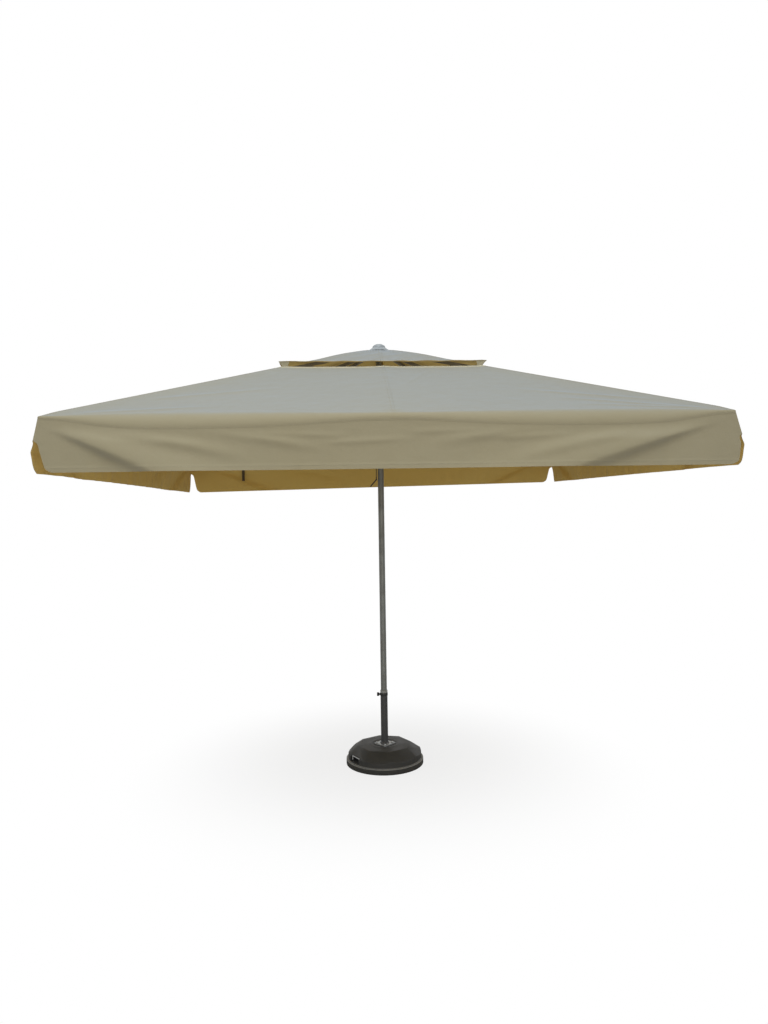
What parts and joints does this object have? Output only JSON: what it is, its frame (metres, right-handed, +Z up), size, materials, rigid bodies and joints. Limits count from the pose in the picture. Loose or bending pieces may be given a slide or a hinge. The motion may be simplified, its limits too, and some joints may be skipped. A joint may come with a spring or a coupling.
{
  "type": "patio umbrella with base",
  "caption": "Square garden parasol with a vented pyramid canopy and hanging valance on a round pole, folding ribs and struts, held upright by a weighted round base with a clamp stem.",
  "frame": {"origin": "centre of the footprint, on the floor under the pole", "axes": "+Z up along the pole, +X to the right of a viewer at the front, +Y to the back"},
  "size_m": [3, 3, 2.649],
  "materials": {
    "shell": "moulded, satin charcoal",
    "concrete": "cast concrete fill",
    "pad": "soft black",
    "cup": "matt black",
    "galvanised": "zinc plated",
    "stem": "charcoal powder coat",
    "black_plastic": "black moulded",
    "sleeve": "grey moulded",
    "pole": "satin anodised",
    "rib": "grey coated tube",
    "pin": "plain steel",
    "finial": "pale grey moulded",
    "cloth": "woven taupe canopy cloth",
    "cord": "braided black cord",
    "strap": "dark webbing"
  },
  "bodies": {
    "base": {"base_shell": "shell", "ballast": "concrete", "base_underplate": "shell", "base_feet": "pad", "grip_cups": "cup", "mounting_plate": "galvanised", "plate_bolts": "galvanised", "stem_tube": "stem", "stem_collar": "black_plastic"},
    "bail_left": {"bail_left": "galvanised"},
    "bail_right": {"bail_right": "galvanised"},
    "knob": {"clamp_knob": "black_plastic", "clamp_screw": "pin"},
    "sleeve": {"reducer_sleeve": "sleeve"},
    "mast": {"pole_tube": "pole", "pole_foot": "black_plastic", "hub": "black_plastic", "hub_pins": "pin", "finial_disc": "finial", "finial_dome": "finial", "vent_cap": "cloth", "vent_webs": "cloth"},
    "rib_front": {"rib_front": "rib", "roof_front": "cloth"},
    "rib_right": {"rib_right": "rib", "roof_right": "cloth"},
    "rib_back": {"rib_back": "rib", "roof_back": "cloth"},
    "rib_left": {"rib_left": "rib", "roof_left": "cloth"},
    "rib_front_right": {"rib_front_right": "rib", "roof_front_right": "cloth"},
    "rib_back_right": {"rib_back_right": "rib", "roof_back_right": "cloth"},
    "rib_back_left": {"rib_back_left": "rib", "roof_back_left": "cloth"},
    "rib_front_left": {"rib_front_left": "rib", "roof_front_left": "cloth"},
    "strut_front": {"strut_front": "rib"},
    "strut_right": {"strut_right": "rib"},
    "strut_back": {"strut_back": "rib"},
    "strut_left": {"strut_left": "rib"},
    "strut_front_right": {"strut_front_right": "rib"},
    "strut_back_right": {"strut_back_right": "rib"},
    "strut_back_left": {"strut_back_left": "rib"},
    "strut_front_left": {"strut_front_left": "rib"},
    "hem_front": {"valance_front": "cloth"},
    "hem_right": {"valance_right": "cloth"},
    "hem_back": {"valance_back": "cloth"},
    "hem_left": {"valance_left": "cloth"},
    "hem_front_right": {"valance_front_right": "cloth"},
    "hem_back_right": {"valance_back_right": "cloth"},
    "hem_back_left": {"valance_back_left": "cloth", "closing_strap": "strap"},
    "hem_front_left": {"valance_front_left": "cloth"},
    "runner": {"runner": "black_plastic", "runner_pins": "pin"},
    "lock": {"pin_cord": "cord", "lock_pin": "pin"}
  },
  "joints": [
    {"name": "bail_left_swing", "type": "hinge", "parent": "base", "child": "bail_left", "pos_m": [-0.18246, -0.11181, 0.0495], "axis": [0.5225, -0.8526, 0], "range_deg": [0, 88]},
    {"name": "bail_right_swing", "type": "hinge", "parent": "base", "child": "bail_right", "pos_m": [0.18246, 0.11181, 0.0495], "axis": [-0.5225, 0.8526, 0], "range_deg": [0, 88]},
    {"name": "knob_turn", "type": "hinge", "parent": "base", "child": "knob", "pos_m": [-0.037, 0, 0.433], "axis": [-1, 0, 0], "continuous": true},
    {"name": "sleeve_turn", "type": "hinge", "parent": "base", "child": "sleeve", "pos_m": [0, 0, 0.3], "axis": [0, 0, 1], "continuous": true},
    {"name": "pole_lift", "type": "slide", "parent": "sleeve", "child": "mast", "axis": [0, 0, 1], "range_m": [0, 0.26]},
    {"name": "canopy_fold", "type": "hinge", "parent": "mast", "child": "rib_front", "pos_m": [0, -0.05, 2.587], "axis": [1, 0, 0], "range_deg": [0, 66.3], "deforming": ["roof_front", "roof_right", "roof_back", "roof_left", "roof_front_right", "roof_back_right", "roof_back_left", "roof_front_left", "valance_front", "valance_right", "valance_back", "valance_left", "valance_front_right", "valance_back_right", "valance_back_left", "valance_front_left", "vent_cap", "vent_webs", "closing_strap"]},
    {"name": "rib_right_fold", "type": "hinge", "parent": "mast", "child": "rib_right", "pos_m": [0.05, 0, 2.587], "axis": [0, 1, 0], "range_deg": [0, 66.6]},
    {"name": "rib_back_fold", "type": "hinge", "parent": "mast", "child": "rib_back", "pos_m": [0, 0.05, 2.587], "axis": [-1, 0, 0], "range_deg": [0, 66.6]},
    {"name": "rib_left_fold", "type": "hinge", "parent": "mast", "child": "rib_left", "pos_m": [-0.05, 0, 2.587], "axis": [0, -1, 0], "range_deg": [0, 66.6]},
    {"name": "rib_front_right_fold", "type": "hinge", "parent": "mast", "child": "rib_front_right", "pos_m": [0.05303, -0.05303, 2.587], "axis": [0.7071, 0.7071, 0], "range_deg": [0, 72.02]},
    {"name": "rib_back_right_fold", "type": "hinge", "parent": "mast", "child": "rib_back_right", "pos_m": [0.05303, 0.05303, 2.587], "axis": [-0.7071, 0.7071, 0], "range_deg": [0, 72.02]},
    {"name": "rib_back_left_fold", "type": "hinge", "parent": "mast", "child": "rib_back_left", "pos_m": [-0.05303, 0.05303, 2.587], "axis": [-0.7071, -0.7071, 0], "range_deg": [0, 72.02]},
    {"name": "rib_front_left_fold", "type": "hinge", "parent": "mast", "child": "rib_front_left", "pos_m": [-0.05303, -0.05303, 2.587], "axis": [0.7071, -0.7071, 0], "range_deg": [0, 72.02]},
    {"name": "strut_front_swing", "type": "hinge", "parent": "rib_front", "child": "strut_front", "pos_m": [0, -0.58199, 2.35594], "axis": [1, 0, 0], "range_deg": [-133.1, 0.5]},
    {"name": "strut_right_swing", "type": "hinge", "parent": "rib_right", "child": "strut_right", "pos_m": [0.58199, 0, 2.35594], "axis": [0, 1, 0], "range_deg": [-133.1, 0.5]},
    {"name": "strut_back_swing", "type": "hinge", "parent": "rib_back", "child": "strut_back", "pos_m": [0, 0.58199, 2.35594], "axis": [-1, 0, 0], "range_deg": [-133.1, 0.5]},
    {"name": "strut_left_swing", "type": "hinge", "parent": "rib_left", "child": "strut_left", "pos_m": [-0.58199, 0, 2.35594], "axis": [0, -1, 0], "range_deg": [-133.1, 0.5]},
    {"name": "strut_front_right_swing", "type": "hinge", "parent": "rib_front_right", "child": "strut_front_right", "pos_m": [0.40226, -0.40226, 2.4043], "axis": [0.7071, 0.7071, 0], "range_deg": [-137.31, 0.5]},
    {"name": "strut_back_right_swing", "type": "hinge", "parent": "rib_back_right", "child": "strut_back_right", "pos_m": [0.40226, 0.40226, 2.4043], "axis": [-0.7071, 0.7071, 0], "range_deg": [-137.31, 0.5]},
    {"name": "strut_back_left_swing", "type": "hinge", "parent": "rib_back_left", "child": "strut_back_left", "pos_m": [-0.40226, 0.40226, 2.4043], "axis": [-0.7071, -0.7071, 0], "range_deg": [-137.31, 0.5]},
    {"name": "strut_front_left_swing", "type": "hinge", "parent": "rib_front_left", "child": "strut_front_left", "pos_m": [-0.40226, -0.40226, 2.4043], "axis": [0.7071, -0.7071, 0], "range_deg": [-137.31, 0.5]},
    {"name": "runner_pivot", "type": "hinge", "parent": "strut_front", "child": "runner", "pos_m": [0, -0.05, 2.12488], "axis": [1, 0, 0], "range_deg": [-0.5, 66.8]},
    {"name": "hem_front_hang", "type": "hinge", "parent": "rib_front", "child": "hem_front", "pos_m": [0, -1.499, 2.0268], "axis": [1, 0, 0], "range_deg": [-66.8, 0.5]},
    {"name": "hem_right_hang", "type": "hinge", "parent": "rib_right", "child": "hem_right", "pos_m": [1.499, 0, 2.0268], "axis": [0, 1, 0], "range_deg": [-66.8, 0.5]},
    {"name": "hem_back_hang", "type": "hinge", "parent": "rib_back", "child": "hem_back", "pos_m": [0, 1.499, 2.0268], "axis": [-1, 0, 0], "range_deg": [-66.8, 0.5]},
    {"name": "hem_left_hang", "type": "hinge", "parent": "rib_left", "child": "hem_left", "pos_m": [-1.499, 0, 2.0268], "axis": [0, -1, 0], "range_deg": [-66.8, 0.5]},
    {"name": "hem_front_right_hang", "type": "hinge", "parent": "rib_front_right", "child": "hem_front_right", "pos_m": [1.499, -1.499, 2.0268], "axis": [0.7071, 0.7071, 0], "range_deg": [-72.22, 0.5]},
    {"name": "hem_back_right_hang", "type": "hinge", "parent": "rib_back_right", "child": "hem_back_right", "pos_m": [1.499, 1.499, 2.0268], "axis": [-0.7071, 0.7071, 0], "range_deg": [-72.22, 0.5]},
    {"name": "hem_back_left_hang", "type": "hinge", "parent": "rib_back_left", "child": "hem_back_left", "pos_m": [-1.499, 1.499, 2.0268], "axis": [-0.7071, -0.7071, 0], "range_deg": [-72.22, 0.5]},
    {"name": "hem_front_left_hang", "type": "hinge", "parent": "rib_front_left", "child": "hem_front_left", "pos_m": [-1.499, -1.499, 2.0268], "axis": [0.7071, -0.7071, 0], "range_deg": [-72.22, 0.5]},
    {"name": "lock_swing", "type": "hinge", "parent": "runner", "child": "lock", "pos_m": [-0.029, -0.014, 2.08833], "axis": [0, 1, 0], "range_deg": [0, 25]}
  ],
  "couplings": [
    {"joint": "rib_right_fold", "follows": "canopy_fold", "ratio": 1},
    {"joint": "rib_back_fold", "follows": "canopy_fold", "ratio": 1},
    {"joint": "rib_left_fold", "follows": "canopy_fold", "ratio": 1},
    {"joint": "rib_front_right_fold", "follows": "canopy_fold", "ratio": 1.0818},
    {"joint": "rib_back_right_fold", "follows": "canopy_fold", "ratio": 1.0818},
    {"joint": "rib_back_left_fold", "follows": "canopy_fold", "ratio": 1.0818},
    {"joint": "rib_front_left_fold", "follows": "canopy_fold", "ratio": 1.0818},
    {"joint": "strut_front_swing", "follows": "canopy_fold", "ratio": -2},
    {"joint": "strut_right_swing", "follows": "canopy_fold", "ratio": -2},
    {"joint": "strut_back_swing", "follows": "canopy_fold", "ratio": -2},
    {"joint": "strut_left_swing", "follows": "canopy_fold", "ratio": -2},
    {"joint": "strut_front_right_swing", "follows": "canopy_fold", "ratio": -2.0635},
    {"joint": "strut_back_right_swing", "follows": "canopy_fold", "ratio": -2.0635},
    {"joint": "strut_back_left_swing", "follows": "canopy_fold", "ratio": -2.0635},
    {"joint": "strut_front_left_swing", "follows": "canopy_fold", "ratio": -2.0635},
    {"joint": "runner_pivot", "follows": "canopy_fold", "ratio": 1},
    {"joint": "hem_front_hang", "follows": "canopy_fold", "ratio": -1},
    {"joint": "hem_right_hang", "follows": "canopy_fold", "ratio": -1},
    {"joint": "hem_back_hang", "follows": "canopy_fold", "ratio": -1},
    {"joint": "hem_left_hang", "follows": "canopy_fold", "ratio": -1},
    {"joint": "hem_front_right_hang", "follows": "canopy_fold", "ratio": -1.0818},
    {"joint": "hem_back_right_hang", "follows": "canopy_fold", "ratio": -1.0818},
    {"joint": "hem_back_left_hang", "follows": "canopy_fold", "ratio": -1.0818},
    {"joint": "hem_front_left_hang", "follows": "canopy_fold", "ratio": -1.0818}
  ]
}
